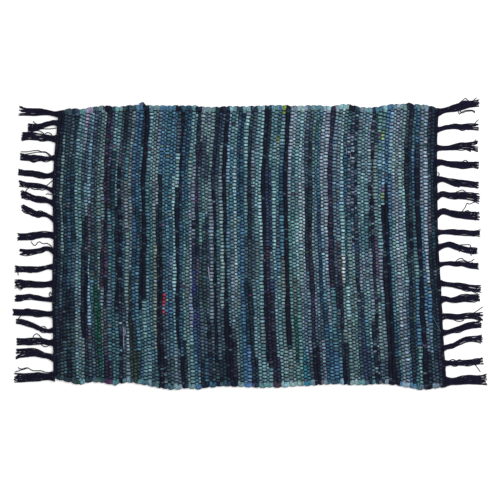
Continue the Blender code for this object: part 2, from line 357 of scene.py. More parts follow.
ACCENTS = ("green", "maroon", "pink", "cream", "red", "mustard", "damson", "sky", "turquoise",
           "orchid", "stone", "straw", "lime", "cobalt")
# Another cloth, near in light, shows in this share of the folds: by so many steps in order of light.
SPOTS = 0.1
STEPS_IN_LIGHT = (-3, -2, -1, 1, 2)
# Odd scraps that show in a single fold now and then.
SCRAPS = ("maroon", "damson", "green", "pink", "brown", "mauve")
SCRAP_SHARE = 0.003
# Rags of mixed cloth: each fold shows one of these.
TWEEDS = {
    "night_tweed": "black black ink plum violet slate silver ink".split(),
    "blue_tweed": "black ink violet lilac blue_slate silver lilac deep_blue".split(),
    "grey_tweed": "silver silver sage lilac silver pale_lilac lilac".split(),
    "berry_tweed": "black plum damson damson maroon mauve".split(),
    "dark_tweed": "black black black black ink plum slate".split(),
}
# What shows in a fold of a black rag now and then.
IN_BLACK = ("ink", "moss", "ink", "plum", "deep_teal")
IN_BLACK_SHARE = 0.12

# The weaver's chart, pick by pick from the left end: how full the rag is, then the rags joined end to end
# in it, from the far selvedge to the near one, with eighths of the width.
CHART = (
    "0.95 black 8",
    "1.05 black 1 ink 7",
    "0.9 slate 1 sage 3 slate 2 plum 1 moss 1",
    "1.05 moss 3 deep_teal 2 ink 2 moss 1",
    "1.1 slate 2 deep_blue 3 ink 1 moss 1 ink 1",
    "1.15 deep_teal 4 slate 1 ink 1 moss 2",
    "0.95 sea 6 sage 1 sea 1",
    "0.95 sea 1 sea_green 3 sea 1 silver 2 sea 1",
    "1 orchid 0.7 lilac 0.6 slate 1.7 ink 3 black 1 sage 1",
    "0.9 blue_slate 1 slate 1 sea 1 ink 2 black 1 plum 1 deep_teal 1",
    "0.9 pale_blue 3 mauve 1 pale_blue 2 slate 2",
    "1 slate 3 moss 2 teal 1 slate 2",
    "0.9 slate 2 moss 3 green 2 moss 1",
    "0.9 sage 5 green 3",
    "0.9 sage 3 mauve 1 maroon 1 silver 1 brown 1 teal 1",
    "1.1 plum 0.6 damson 0.6 berry_tweed 1.5 black 0.8 plum 0.5 berry_tweed 1 ink 1 mauve 1 plum 1",
    "1.1 violet 2 plum 1 teal 2 blue_slate 1 teal 1 plum 1",
    "1.1 sea 1 deep_teal 2 teal 5",
    "0.9 sea 3 ink 1 dark_tweed 2 teal 2",
    "0.9 moss 1 mauve 1 dark_tweed 3 ink 1 night_tweed 2",
    "1 ink 1 slate 3 deep_blue 1 ink 1 slate 2",
    "1 slate 1 teal 1 stone 2 sage 2 silver 2",
    "1 stone 4 silver 1 olive 3",
    "1.1 blue 2 deep_blue 1 blue 1 deep_blue 2 moss 1 olive 1",
    "1 blue 3 deep_blue 2 blue_teal 2 olive 1",
    "0.8 ink 1 blue_teal 2 moss 1 black 2 teal 1 blue 1",
    "1.2 black 5.6 sea 2.4",
    "1.1 sea 2 teal 3 sea 2 sea 1",
    "0.9 sea 2 teal 4 blue_teal 1 slate 1",
    "0.9 stone 3 sage 1 straw 3 teal 1",
    "0.9 blue_slate 1 sage 1 silver 1 ink 1 black 4",
    "0.8 blue 0.9 sky 0.5 blue 0.4 ink 2.2 dark_tweed 4",
    "0.9 blue_teal 2 teal 3.25 red 0.38 lilac 0.14 red 0.16 slate 1.07 night_tweed 1",
    "1 blue_teal 4 blue 2 slate 1 moss 1",
    "1 blue_teal 4 blue_slate 1 blue 1 blue_teal 1 moss 1",
    "0.9 blue 2 pale_sea 3 sea 2 silver 1",
    "1 slate 1 pale_sea 1 ink 1 black 4 slate 1",
    "1 black 2 ink 1 deep_blue 4 black 1",
    "0.9 deep_blue 3 teal 1 sea_green 3 ink 1",
    "0.9 deep_blue 3 teal 1 sage 4",
    "1 sea 1 sage 1 sea 1 lilac 3 sea 2",
    "1 sea 2 lilac 1 night_tweed 1 navy 0.5 cobalt 0.9 navy 0.4 cobalt 0.5 blue 0.7 blue_teal 1",
    "0.9 ink 1 plum 1 berry_tweed 1 ink 1 mauve 1 navy 2 blue_teal 1",
    "1 silver 1 plum 1 slate 1 sea_green 1 slate 1 moss 1 slate 1 ink 1",
    "1 sage 1 slate 1 sea_green 1 moss 3 slate 1 deep_blue 1",
    "1 silver 1.4 slate 0.6 sage 1 navy 1 violet 1 slate 1 ink 1 navy 1",
    "1.1 sage 2 silver 4 slate 1 moss 1",
    "0.9 ink 2 black 5 moss 1",
    "1 navy 2 slate 1 teal 2 slate 2 ink 1",
    "1.1 slate 1 sage 1 silver 1 pale_sage 3 slate 1 deep_teal 1",
    "1 black 8",
    "1 pale_blue 2 sea_green 1 blue_teal 1 teal 2 black 2",
    "1 sea 1 blue_teal 2 blue_slate 1 lilac 1 silver 1 slate 1 plum 1",
    "0.9 sea 2 pale_sea 1 pale_sage 2 sage 3",
    "1 deep_blue 3 blue_teal 2 sage 1 teal 2",
    "1.1 deep_blue 3 blue 4 sky 1",
    "1.1 pale_sea 2 sea 2 slate 1 deep_teal 2 sky 1",
    "1 moss 1 ink 3 moss 1 ink 3",
    "1.1 slate 1 silver 1 slate 3 sea 2 ink 1",
    "1 sea 4 sage 1 sea 3",
    "1.1 pale_sea 4 sea 2 sage 1 sea 1",
    "1 black 7 sea 1",
    "1 ink 2 navy 2 maroon 0.4 plum 3 sea 0.6",
    "1 sea 2 navy 2 blue_slate 1 navy 0.4 plum 2.6",
    "1 sea 2 pale_sea 3 sea 2 silver 0.2 plum 0.8",
    "1 teal 0.9 mustard 0.12 straw 0.2 sage 0.78 sea_green 1 slate 1 blue_teal 1 sea 3",
    "1.2 mustard 0.2 sea 0.8 blue_teal 1 deep_blue 1 blue_teal 1 brown 1 sage 3",
    "1.35 black 7 sage 1",
    "0.95 pale_lilac 2 silver 1 sea_green 3 sage 2",
    "1 pale_lilac 1 teal 1 sea_green 2 sea 1 brown 1 green 1 sea_green 1",
    "1 sea 1 pale_sea 1 silver 1 pale_sea 2 sea_green 3",
    "1 pale_sea 2 pale_sage 3 silver 1 sea 1 turquoise 1",
    "0.8 lilac 2 pale_lilac 3 blue_slate 2 teal 0.6 turquoise 0.4",
    "1.1 slate 2 ink 3 blue_slate 2 slate 1",
    "1 slate 1 ink 1 deep_teal 1 plum 4 black 1",
    "0.8 sage 2 silver 1 sage 2 silver 1 slate 0.8 black 1.2",
    "0.9 teal 3 blue_slate 4 slate 1",
    "0.8 teal 1 blue_teal 2 deep_blue 3 slate 1 lilac 1",
    "1.1 pale_lilac 4 pale_blue 1 blue_teal 1 deep_blue 2",
    "1.05 pale_lilac 5 silver 1 blue_teal 1 blue 1",
    "1.45 plum 5 teal 2 blue 1",
    "1 blue_slate 4 slate 1 ink 1 teal 1 blue_teal 1",
    "1 silver 2 blue_slate 2 mauve 1 plum 2 black 1",
    "1.1 pale_sea 2 pale_blue 1 pale_sea 1 cream 1 sage 2 ink 1",
    "1 sage 1 deep_blue 4 pale_sea 1 sage 2",
    "1 teal 0.6 blue_tweed 2.4 teal 1 sage 4",
    "1 slate 0.4 blue_tweed 3.6 sage 2 sea_green 2",
    "1 night_tweed 4 navy 1 night_tweed 1 slate 2",
    "1 silver 1 sea 3 silver 1 slate 1 navy 2",
    "1 silver 2 pale_sea 1 sea 1 lilac 1 sea 1 teal 1 navy 1",
    "1 sea 3 teal 1 blue_slate 1 sea 2 teal 1",
    "0.9 grey_tweed 2 night_tweed 2 grey_tweed 2 night_tweed 2",
    "0.8 night_tweed 4 ink 1 night_tweed 3",
    "1 moss 1 sage 3 pink 1 sage 2 slate 1",
    "1.2 sea_green 1 pale_blue 1 blue_teal 1 sea 1 lilac 1 sea 1 silver 1 slate 1",
    "1.1 sea_green 0.75 lime 0.2 pale_blue 1 lime 0.1 pale_blue 0.25 pink 0.2 lime 0.3 black 5.2",
    "1 blue 2 black 6",
    "1 pale_blue 2 blue 2 blue_teal 2 deep_blue 1 ink 1",
    "0.9 pale_lilac 1 pale_sage 1 silver 1 sea_green 1 sage 2 teal 2",
    "1 grey_tweed 3 pale_lilac 3 grey_tweed 2",
    "1 silver 1 pale_sage 2 grey_tweed 1 pale_sage 1 grey_tweed 3",
    "0.9 sage 2 pale_sea 2 sea 1 blue_slate 1 blue 2",
    "1 moss 1 black 1 ink 6",
    "1 plum 1 ink 1 moss 1 dark_tweed 1 moss 2 deep_teal 1 teal 1",
    "1 teal 1 blue 2 teal 1 sea 1 blue_teal 1 blue 1 sea_green 1",
    "1.3 deep_blue 1 ink 1 black 6",
    "1 silver 1 lilac 2 blue_teal 1 blue 2 blue_slate 1 ink 1",
    "1.1 silver 1 pale_lilac 4 blue 1 blue_slate 1 slate 1",
    "1 plum 1 ink 1 slate 1 mauve 1 ink 2 deep_teal 1 slate 1",
    "1 ink 1 deep_teal 1 ink 1 deep_teal 1 ink 3 plum 1",
    "0.9 black 8",
)
PICKS = len(CHART)

# The rag that each pick shows in its turn at the far and at the near selvedge, from the left end.
FAR_LOOPS = (
    "black black moss moss ink violet sea_green sea_green orchid orchid moss moss sage sage "
    "black black deep_teal sea_green sea olive black moss moss blue blue ink black sea sea sage blue "
    "blue blue blue_teal blue_teal black black deep_blue deep_blue deep_teal sea_green black black "
    "silver sage sage sage ink black ink black pale_sea sea deep_teal deep_teal sea pale_sea black ink "
    "sea pale_sea black black sea sea blue mustard black silver silver pale_sage pale_sage lilac "
    "slate sea_green sage teal teal pale_lilac pale_lilac plum silver pale_sea pale_sea pale_sage "
    "black black deep_teal silver silver sea sea ink blue_teal blue_teal pale_sea blue blue silver "
    "pale_lilac sage sage black black teal teal silver silver black ink black"
).split()
NEAR_LOOPS = (
    "black ink moss ink ink moss moss sea sea deep_teal ink slate moss green deep_teal damson damson "
    "teal teal black teal silver olive olive teal teal teal blue_slate moss sea_green black black "
    "moss teal teal sea lilac black ink sage sage blue blue black black deep_blue deep_blue black "
    "moss deep_teal deep_teal black black sage sage sky sky black ink sea_green sea_green sea_green "
    "sea_green maroon maroon pale_sea pale_sea pale_sage pale_sage pale_sage sage turquoise turquoise "
    "silver black black mauve silver deep_blue deep_blue deep_blue pale_blue black ink pale_sage "
    "pale_sage sea sea_green slate ink teal ink navy plum silver black black black blue pale_lilac "
    "pale_lilac blue blue teal teal black black silver silver black black"
).split()
# A turn that was pulled out: the pick before it, and by how much at the ring where it is pulled most.
PULLED = {24: 7.5, 102: 2.5, 17: 3.0, 40: 2.0}
PULLED_RING = 2.6
PULLED_SPREAD = 3.0


def mix(a, b, t):
    return a + (b - a) * t


def wander(rng, count, every):
    """Smooth numbers between about -1 and 1 that change over that many steps."""
    knots = rng.uniform(-1, 1, count // every + 4)
    return through(np.arange(count) / every, np.arange(len(knots)), knots)


def changes(rng, count, kinds):
    """The sum of wanders of several kinds, each a size and the steps over which it changes."""
    return sum(size * wander(rng, count, every) for size, every in kinds)


def through(at, xs, ys):
    """A smooth curve through a table's points, read at each value of at."""
    xs, ys, at = np.asarray(xs, float), np.asarray(ys, float), np.asarray(at, float)
    slopes = np.gradient(ys, xs)
    i = np.clip(np.searchsorted(xs, at, side="right") - 1, 0, len(xs) - 2)
    step = xs[i + 1] - xs[i]
    t = (at - xs[i]) / step
    start, end = ys[i], ys[i + 1]
    bend_in = slopes[i] * step
    bend_out = slopes[i + 1] * step
    rise = t * t * (3 - 2 * t)
    return mix(start, end, rise) + bend_in * t * (1 - t) ** 2 - bend_out * t * t * (1 - t)


class Cloth:
    """Where a place in the weave lies on the floor."""

    def __init__(self):
        lines = np.array(LINES, float)
        self.left_x, left_y, self.right_x, right_y = lines.T
        self.left_share = (left_y - left_y[0]) / (left_y[-1] - left_y[0])
        self.right_share = (right_y - right_y[0]) / (right_y[-1] - right_y[0])

    def place(self, along, across):
        """The (x, y) of each pair of fractions."""
        across = np.clip(across, 0, 1)
        left = through(across, self.left_share, self.left_x)
        right = through(across, self.right_share, self.right_x)
        x = mix(left, right, along)
        near_x = mix(self.left_x[0], self.right_x[0], along)
        far_x = mix(self.left_x[-1], self.right_x[-1], along)
        near_y = through(near_x, *zip(*NEAR_EDGE))
        far_y = through(far_x, *zip(*FAR_EDGE))
        return x, mix(near_y, far_y, across)

    def end_x(self, y, right_end):
        """The x of the left or right end at y."""
        line_y = np.array([line.right_y if right_end else line.left_y for line in LINES], float)
        return through(y, line_y, self.right_x if right_end else self.left_x)


def rags_of(pick):
    """The rags of a pick, as (fabric, eighths of the width) from the far selvedge."""
    words = pick.split()[1:]
    return [(words[i], float(words[i + 1])) for i in range(0, len(words), 2)]


class Tubes:
    """Rings of points joined into closed tubes, gathered into one mesh."""

    def __init__(self, sides):
        self.sides = sides
        self.points = []
        self.faces = []
        self.finishes = []
        self.tones = []
        self.flecks = []
        self.count = 0

    def add(self, rings, finish=None, tone=0.5, fleck=0.0):
        """rings has the shape (rings, sides, 3), in mm. The rest are numbers, or one for each ring."""
        n, sides = len(rings), self.sides
        self.points.append(rings.reshape(-1, 3))
        ring = np.arange(n - 1)[:, None] * sides
        side = np.arange(sides)[None, :]
        following = (side + 1) % sides
        corners = [ring + side, ring + following, ring + sides + following, ring + sides + side]
        quads = np.stack(corners, axis=-1).reshape(-1, 4) + self.count
        self.faces += quads.tolist()
        first = [self.count + k for k in range(sides)]
        last = [self.count + (n - 1) * sides + k for k in range(sides)]
        self.faces += [first[::-1], last]
        of_ring = np.zeros(n, int) if finish is None else np.asarray(finish)
        self.finishes += np.repeat(of_ring[:-1], sides).tolist() + [int(of_ring[0]), int(of_ring[-1])]
        self.tones.append(np.repeat(np.broadcast_to(tone, n), sides))
        self.flecks.append(np.repeat(np.broadcast_to(fleck, n), sides))
        self.count += n * sides

    def make(self, name, materials):
        points = np.concatenate(self.points) - (MIDDLE_X, 0, 0)
        mesh = bpy.data.meshes.new(name)
        mesh.from_pydata((points * MM).tolist(), [], self.faces)
        for material in materials:
            mesh.materials.append(material)
        mesh.polygons.foreach_set("material_index", self.finishes)
        for title, values in (("tone", self.tones), ("fleck", self.flecks)):
            mesh.attributes.new(title, "FLOAT", "POINT").data.foreach_set("value", np.concatenate(values))
        mesh.shade_smooth()
        piece = bpy.data.objects.new(name, mesh)
        bpy.context.collection.objects.link(piece)
        return piece


def sideways(x, y):
    """The unit vector across a path seen from above, to its right."""
    dx, dy = np.gradient(x), np.gradient(y)
    size = np.maximum(np.hypot(dx, dy), 1e-9)
    return dy / size, -dx / size


class Weave:
    """The places of picks and warps, with every pick's own width along its length."""

    def __init__(self, cloth, rng):
        self.cloth = cloth
        margin = LOOP_ROOM / BODY_WIDTH
        # Every second place is a crossing with a warp thread, and the others lie between.
        self.across = mix(margin, 1 - margin, np.arange(2 * WARPS + 1) / (2 * WARPS))
        self.fullness = np.array([float(pick.split()[0]) for pick in CHART])
        self.rags = [rags_of(pick) for pick in CHART]
        # Each pick is fuller or thinner along its length, and its neighbours make room for it.
        even = np.concatenate([[0], np.cumsum(self.fullness)]) / self.fullness.sum()
        self.borders = np.empty((PICKS + 1, len(self.across)))
        for p in range(PICKS + 1):
            uneven = PICK_UNEVEN / PICKS * wander(rng, len(self.across), UNEVEN_PLACES)
            drift = DRIFT * wander(rng, len(self.across), DRIFT_PLACES)
            self.borders[p] = even[p] + (uneven + drift) * (0 < p < PICKS)
        self.along = (self.borders[1:] + self.borders[:-1]) / 2
        self.width = np.diff(self.borders, axis=0) * BODY_LENGTH


def fabric_along(pieces, across, rng, order):
    """The fabric's index at each place across a pick."""
    lengths = np.array([length for _, length in pieces])
    ends = np.cumsum(lengths) / lengths.sum()
    room = np.minimum(lengths, np.append(lengths[1:], 1.0)).clip(0, 1)
    ends = np.maximum.accumulate(ends + room * rng.uniform(-SEAM_DRIFT, SEAM_DRIFT, len(ends)))
    ends[-1] = 2
    which = np.searchsorted(ends, 1 - across)
    return np.array([order[pieces[i][0]] for i in which])


def in_folds(draw, count):
    """A draw for each fold of the weft, given to both of its rings."""
    return draw(count // 2 + 1).repeat(2)[:count]


def spotted(fabric, rng, order):
    """The plain cloth in each fold: tweeds come apart into their rags, and there is a spot of another cloth
    here and there, mostly about as light as the one around it."""
    count = len(fabric)

    def chance():
        return in_folds(rng.random, count)

    def one_of(titles):
        return in_folds(lambda n: rng.choice([order[title] for title in titles], n), count)

    for title, rags in TWEEDS.items():
        fabric = np.where(fabric == order[title], one_of(rags), fabric)
    fabric = np.where((fabric == order["black"]) & (chance() < IN_BLACK_SHARE), one_of(IN_BLACK), fabric)
    light = [f.red + f.green + f.blue for f in FABRICS.values()]
    accent = np.isin(list(FABRICS), ACCENTS)
    by_light = np.array([i for i in np.argsort(light) if not accent[i]])
    rank = np.searchsorted(np.array(light)[by_light], light)
    step = in_folds(lambda n: rng.choice(STEPS_IN_LIGHT, n), count)
    other = by_light[np.clip(rank[fabric] + step, 0, len(by_light) - 1)]
    fabric = np.where(chance() < SPOTS, other, fabric)
    return np.where(chance() < SCRAP_SHARE, one_of(SCRAPS), fabric)


def weft_rings(centre, side, half_width, above, below, crease):
    """Six-sided sections of a soft rag: upright in Z, turned with the path, creased by a factor at each
    corner."""
    rings = np.zeros((len(half_width), RAG_SIDES, 3))
    first = math.pi / RAG_SIDES
    for k in range(RAG_SIDES):
        angle = first + k * 2 * math.pi / RAG_SIDES
        out = math.cos(angle) / math.cos(first) * half_width * crease[:, k]
        up = math.sin(angle) * np.where(math.sin(angle) > 0, above, below) * crease[:, k]
        rings[:, k, 0] = centre[:, 0] + side[:, 0] * out
        rings[:, k, 1] = centre[:, 1] + side[:, 1] * out
        rings[:, k, 2] = np.maximum(centre[:, 2] + up, FLOOR_GAP)
    return rings


def fold_tones(count, rng):
    """How light each fold of the weft is: rags differ over a hand's width and from fold to fold."""
    own = in_folds(lambda n: rng.normal(0, TONE_SPREAD, n), count)
    return np.clip(TONE + own + changes(rng, count, TONE_CHANGES), 0, 1)


def fold_flecks(count, rng):
    """A few folds show a printed or a heathered spot of the cloth."""
    return in_folds(lambda n: (rng.random(n) < FLECK_SHARE) * rng.uniform(*FLECK_STRENGTH, n), count)


def selvedge_turn(x, y, next_x, next_y, outward, fabrics, p, rng):
    """The rings of the turn from the end of one pick to the start of the next, half in each one's rag."""
    aside, beyond, half = np.array(TURN).T
    n = len(TURN)
    full = rng.uniform(*TURN_FULL)
    pulled = PULLED.get(p, 0.0) * np.exp(-((np.arange(n) - PULLED_RING) ** 2) / PULLED_SPREAD)
    tx = mix(x, next_x, 0.5 + aside / 2) + rng.uniform(-TURN_ASIDE, TURN_ASIDE)
    out = beyond * rng.uniform(*TURN_REACH) + pulled
    ty = mix(y, next_y, 0.5 + aside.clip(-1, 1) / 2) + outward * out
    height = np.full(n, TURN_HEIGHT)
    fabric = np.where(np.arange(n) < n // 2, fabrics[0], fabrics[1])
    return tx, ty, height, height, fabric, half * full, np.full(n, p)


def weft_tail(x, y, outward, fabric, p):
    """The rings of the weft's own end, away from the last crossing."""
    aside, beyond, half = np.array(TAIL).T
    n = len(TAIL)
    height = np.full(n, TURN_HEIGHT)
    return x + aside, y + outward * beyond, height, height, np.full(n, fabric), half, np.full(n, p)


def lay_weft(weave, rng, order):
    """The whole weft as one path: each pick, then the turn into the next. Returns its rings, and the
    fabric, pick, tone and fleck of each."""
    n = 2 * WARPS + 1
    parts = []
    for p in range(PICKS):
        x, y = weave.cloth.place(weave.along[p], weave.across)
        index = np.arange(n)
        crossing = index % 2 == 1
        over = crossing & ((p + index // 2) % 2 == 0)
        under = crossing & ~over
        above = np.where(over, RAG_PRESSED, np.where(under, RAG_FULL, RAG_BESIDE))
        below = np.where(under, RAG_PRESSED, np.where(over, RAG_FULL, RAG_BESIDE))
        fabric = fabric_along(weave.rags[p], weave.across, rng, order)
        fabric[:2] = order[NEAR_LOOPS[p]]
        fabric[-2:] = order[FAR_LOOPS[p]]
        half = weave.width[p] / 2 * RAG_FILL
        if p % 2:
            x, y, above, below, fabric, half = (a[::-1] for a in (x, y, above, below, fabric, half))
        parts.append((x, y, above, below, fabric, half, np.full(n, p)))
        if p + 1 < PICKS:
            end = -1 if p % 2 == 0 else 0
            next_x, next_y = weave.cloth.place(weave.along[p + 1][end], weave.across[end])
            outward, loops = (1, FAR_LOOPS) if p % 2 == 0 else (-1, NEAR_LOOPS)
            shown = [order[loops[p]], order[loops[p + 1]]]
            parts.append(selvedge_turn(x[-1], y[-1], next_x, next_y, outward, shown, p, rng))
        if p == 0:
            start = weft_tail(x[0], y[0], -1, fabric[0], p)
            parts.insert(0, tuple(a[::-1] for a in start))
        if p == PICKS - 1:
            outward = 1 if p % 2 == 0 else -1
            parts.append(weft_tail(x[-1], y[-1], outward, fabric[-1], p))
    x, y, above, below, fabric, half, pick = (np.concatenate(c) for c in zip(*parts))
    tone = fold_tones(len(x), rng)
    tone = np.where(above == TURN_HEIGHT, mix(tone, TURN_TONE, TURN_TONE_SHARE), tone)
    fleck = fold_flecks(len(x), rng)
    centre = np.stack([x, y, np.full(len(x), MID_HEIGHT)], axis=1)
    side = np.stack(sideways(x, y), axis=1)
    crease = np.ones((len(x), RAG_SIDES))
    for k in range(RAG_SIDES):
        crease[:, k] += changes(rng, len(x), CREASES)
    return weft_rings(centre, side, half, above, below, crease), fabric, pick, tone, fleck


def lay_warp(weave, rng):
    """Each warp thread as rings, from the left end to the right one."""
    threads = []
    for w in range(WARPS):
        index = 2 * w + 1
        borders, along = weave.borders[:, index], weave.along[:, index]
        share = np.diff(borders)
        over = np.where((np.arange(PICKS) + w) % 2 == 0, 1.0, -1.0)
        crest = MID_HEIGHT + over * WARP_CREST
        at = [borders[0]]
        height = [MID_HEIGHT]
        for p in range(PICKS):
            at += [along[p] - WARP_SHOULDER * share[p], along[p] + WARP_SHOULDER * share[p], borders[p + 1]]
            height += [crest[p], crest[p], MID_HEIGHT]
        at, height = np.array(at), np.array(height)
        across = weave.across[index] + wander(rng, len(at), WANDER_RINGS) * WARP_WANDER / BODY_WIDTH
        x, y = weave.cloth.place(at, across)
        side_x, side_y = sideways(x, y)
        rings = np.zeros((len(at), WARP_SIDES, 3))
        for k in range(WARP_SIDES):
            angle = math.pi / 4 + k * math.pi / 2
            out = math.cos(angle) * math.sqrt(2) * WARP_HALF_WIDTH
            rings[:, k, 0] = x + side_x * out
            rings[:, k, 1] = y + side_y * out
            rings[:, k, 2] = height + math.sin(angle) * math.sqrt(2) * WARP_HALF_HEIGHT
        threads.append(rings)
    return threads


def thread_rings(path, radius):
    """A round thread along a path of (x, y, z) points."""
    forward = np.gradient(path, axis=0)
    forward /= np.maximum(np.linalg.norm(forward, axis=1, keepdims=True), 1e-9)
    side = np.cross(forward, (0, 0, 1.0))
    side /= np.maximum(np.linalg.norm(side, axis=1, keepdims=True), 1e-9)
    up = np.cross(side, forward)
    angle = np.arange(THREAD_SIDES) * 2 * math.pi / THREAD_SIDES
    radius = np.broadcast_to(radius, len(path))[:, None, None]
    turned = np.cos(angle)[None, :, None] * side[:, None, :] + np.sin(angle)[None, :, None] * up[:, None, :]
    return path[:, None, :] + turned * radius


def lay_tassel(cloth, tassel, right_end, rng):
    """The threads of one tassel, from inside the heading to their cut tips."""
    outward = 1 if right_end else -1
    t = np.linspace(0, 1, THREAD_RINGS)

    def thread(root, y, reach, height):
        """The thread's path from its root in the heading, by its y and its height on the others."""
        along = -ROOT_DEPTH + (reach + ROOT_DEPTH) * t
        x = cloth.end_x(root, right_end) + outward * along
        z = THREAD_REST + np.interp(along, ROOT_PLACES, ROOT_LIFTS) + height
        return np.stack([x, y, z], axis=1)

    middle = tassel.root + through(t, BEND_PLACES, (0,) + tassel.bends)
    girth, fan = tassel.girth + GIRTH_ROOM, tassel.fan + FAN_ROOM
    widths = (ROOT_SPREAD * girth, girth, girth, mix(girth, fan, FAN_STARTED), fan)
    half = through(t, WIDTH_PLACES, widths)
    tall = through(t, HEIGHT_PLACES, HEIGHTS)
    # The threads are held in the first quarter and fray in the last fifth.
    free = np.clip(4 * t, 0, 1)
    frayed = np.clip((t - 0.8) / 0.2, 0, 1) ** 2
    turn = rng.uniform(0, 2 * math.pi)
    twist = rng.uniform(*TWIST) * rng.choice([-1, 1])
    count = round(THREADS_FOR_GIRTH * girth)
    paths = []
    for k in range(count):
        phase = turn + 2 * math.pi * k / count + twist * t * np.clip(t * 3, 0, 1)
        short = rng.choice(SHORTER, p=SHORTER_ODDS)
        reach = tassel.reach * (LONGEST - short - rng.uniform(0, LENGTH_SPREAD))
        inner = INNER if k % 4 == 3 else 1.0
        kinks = free * changes(rng, THREAD_RINGS, KINKS)
        spread = (half - THREAD_RADIUS) * np.cos(phase) * inner
        y = middle + spread + kinks + frayed * rng.normal(0, FRAY)
        paths.append(thread(tassel.root + spread[0], y, reach, tall * (1 + np.sin(phase) * inner)))
    for aside in (-1, 1):
        off = SIDE_LOOSE * free * np.clip(wander(rng, THREAD_RINGS, SIDE_RINGS) - 0.1, 0, 1)
        y = middle + aside * (half - 0.9 * THREAD_RADIUS + off)
        paths.append(thread(tassel.root + aside * half[0], y, tassel.reach, tall / 2))
    return paths


def lay_stray(places, height, ends):
    """A loose thread, with its ends higher or lower than its middle."""
    x, y = np.array(places, float).T
    steps = np.hypot(np.diff(x), np.diff(y))
    at = np.concatenate([[0], np.cumsum(steps)]) / steps.sum()
    t = np.linspace(0, 1, STRAY_RINGS)
    z = height + ends * (2 * t - 1) ** 2
    return np.stack([through(t, at, x), through(t, at, y), z], axis=1)


class Value:
    """A number that varies over a surface. Each operator adds one Math node."""

    def __init__(self, finish, socket):
        self.finish = finish
        self.socket = socket

    def math(self, operation, first, second):
        node = self.finish.node("ShaderNodeMath", {"operation": operation}, {0: first, 1: second})
        return Value(self.finish, node.outputs[0])

    def __add__(self, other):
        return self.math("ADD", self, other)

    def __sub__(self, other):
        return self.math("SUBTRACT", self, other)

    def __mul__(self, other):
        return self.math("MULTIPLY", self, other)

    def between(self, low, high):
        """0 below low, 1 above high, and smooth from one to the other."""
        settings = {"interpolation_type": "SMOOTHSTEP"}
        node = self.finish.node("ShaderNodeMapRange", settings, {0: self, 1: low, 2: high, 3: 0.0, 4: 1.0})
        return Value(self.finish, node.outputs[0])


class Finish:
    """A material on a Principled shader."""

    def __init__(self, name, roughness, specular=0.06):
        self.material = bpy.data.materials.new(name)
        self.material.use_nodes = True
        self.tree = self.material.node_tree
        self.shader = self.tree.nodes["Principled BSDF"]
        self.set(self.shader, {"Roughness": roughness, "Specular IOR Level": specular})

    def set(self, node, sockets):
        for key, value in sockets.items():
            if isinstance(value, Value):
                value = value.socket
            if isinstance(value, bpy.types.NodeSocket):
                self.tree.links.new(value, node.inputs[key])
            else:
                node.inputs[key].default_value = value

    def node(self, kind, settings, sockets):
        made = self.tree.nodes.new(kind)
        for key, value in settings.items():
            setattr(made, key, value)
        self.set(made, sockets)
        return made

    def place(self, x, y, z):
        """The point on the object, with each axis scaled."""
        at = self.node("ShaderNodeTexCoord", {}, {}).outputs["Object"]
        scaled = self.node("ShaderNodeVectorMath", {"operation": "MULTIPLY"}, {0: at, 1: (x, y, z)})
        return scaled.outputs[0]

    def of_ring(self, title):
        """A number that the mesh holds for each ring of a rag or a thread."""
        node = self.node("ShaderNodeAttribute", {"attribute_name": title}, {})
        return Value(self, node.outputs["Fac"])

    def height_from_middle(self):
        """How far a point is above or below the middle of the cloth, in metres."""
        at = self.node("ShaderNodeTexCoord", {}, {}).outputs["Object"]
        height = self.node("ShaderNodeSeparateXYZ", {}, {0: at}).outputs[2]
        away = Value(self, height) - MID_HEIGHT * MM
        node = self.node("ShaderNodeMath", {"operation": "ABSOLUTE"}, {0: away})
        return Value(self, node.outputs[0])

    def noise(self, vector, detail=2.0):
        sockets = {"Vector": vector, "Scale": 1.0, "Detail": detail}
        return Value(self, self.node("ShaderNodeTexNoise", {}, sockets).outputs[0])

    def blend(self, amount, first, second):
        """A colour between two."""
        settings = {"data_type": "RGBA"}
        return self.node("ShaderNodeMix", settings, {0: amount, 6: first, 7: second}).outputs[2]

    def colour(self, socket):
        self.set(self.shader, {"Base Color": socket})

    def relief(self, height, depth):
        bump = self.node("ShaderNodeBump", {}, {"Height": height, "Distance": depth, "Strength": 1.0})
        self.set(self.shader, {"Normal": bump.outputs[0]})


def linear(red, green, blue):
    """A colour for a socket from the 0 to 255 steps of a screen."""
    steps = [c / 255 for c in (red, green, blue)]
    return tuple(c / 12.92 if c <= 0.04045 else ((c + 0.055) / 1.055) ** 2.4 for c in steps) + (1.0,)


def brighter(colour, share):
    return tuple(min(c * share, 1.0) for c in colour[:3]) + (1.0,)


def shifted(colour, by):
    return tuple(c * b for c, b in zip(colour, by)) + (1.0,)


# A rag's lit folds against its own colour: where its dye is bluer or greener, and where it is worn. Then
# the colour of the painted shade where a rag dips between its neighbours, against its second colour, and
# how far from the middle of the cloth, in metres, that painted shade is full and where it has gone.
BLUER = (1.33, 1.25, 1.54)
GREENER = (1.38, 1.47, 1.28)
WORN = (1.53, 1.47, 1.48)
PAINTED_SHADE_TINT = (0.28, 0.31, 0.36)
PAINTED_SHADE_FULL_HEIGHT = 0.0006
PAINTED_SHADE_GONE_HEIGHT = 0.0024


